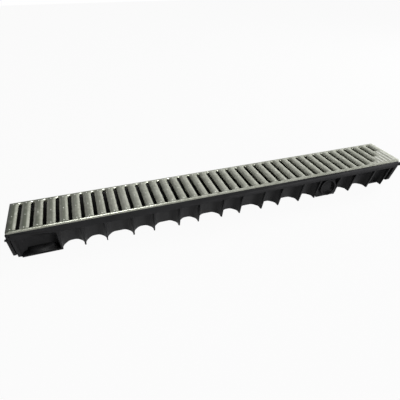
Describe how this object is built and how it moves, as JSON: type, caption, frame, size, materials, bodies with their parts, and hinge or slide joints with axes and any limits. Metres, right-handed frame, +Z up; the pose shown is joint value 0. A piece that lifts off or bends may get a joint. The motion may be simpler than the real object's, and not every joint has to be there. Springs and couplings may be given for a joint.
{
  "type": "channel drain",
  "caption": "Straight drainage channel: ribbed V-shaped plastic trough with side and bottom knock-out outlets, under a slotted galvanised steel grating.",
  "frame": {"origin": "bottom centre of the bounding box, on the ground under the cross ribs", "axes": "+X along the drain from the end with the bottom outlet to the end with the joining lugs, +Y across it away from the side outlet, +Z up"},
  "size_m": [1.016, 0.12, 0.0889],
  "materials": {
    "plastic": "black moulded polypropylene, slightly satin",
    "galvanised": "dull zinc-grey galvanised sheet with a faint spangle"
  },
  "bodies": {
    "root": {"channel_body": "plastic", "grating": "galvanised"}
  },
  "joints": []
}
